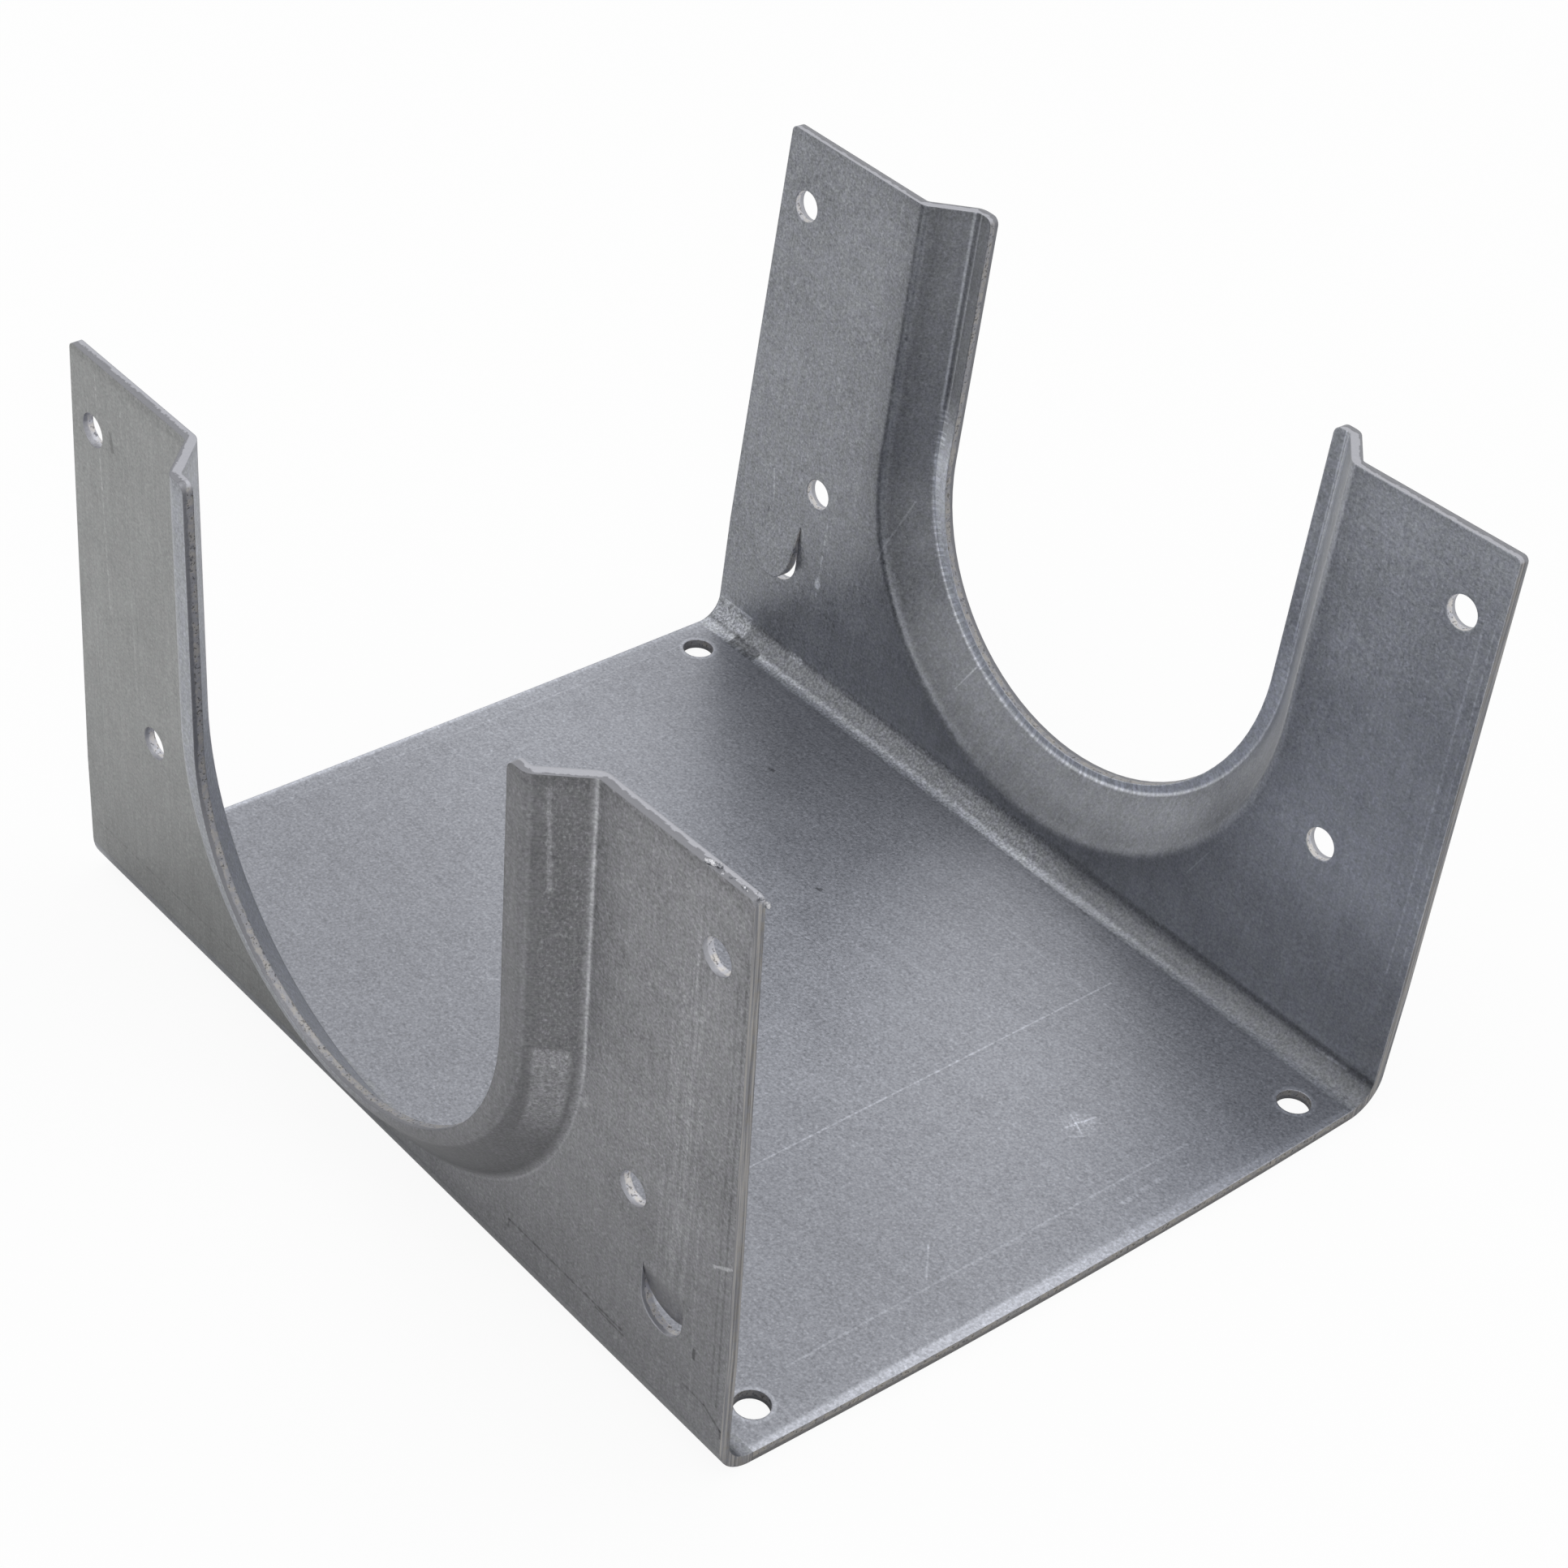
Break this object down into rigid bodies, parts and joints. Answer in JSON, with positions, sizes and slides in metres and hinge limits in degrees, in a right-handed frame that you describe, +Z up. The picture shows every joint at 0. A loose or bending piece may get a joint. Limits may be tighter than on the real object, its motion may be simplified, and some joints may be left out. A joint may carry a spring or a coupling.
{
  "type": "stud shoe",
  "caption": "Folded galvanised sheet shoe that wraps notched studs, with a flanged U notch in each side wall for a pipe, nail holes and lanced prongs.",
  "frame": {"origin": "underside of the base, at its middle", "axes": "+Z up from the base; X along the shoe's length, parallel to the two long folds; Y across, from wall to wall, -Y at the wall nearest the camera"},
  "size_m": [0.1405, 0.1348, 0.0878],
  "materials": {
    "galvanised_sheet": "matt galvanised, dull grey with a fine spangle"
  },
  "bodies": {
    "root": {"stud_shoe": "galvanised_sheet"}
  },
  "joints": []
}
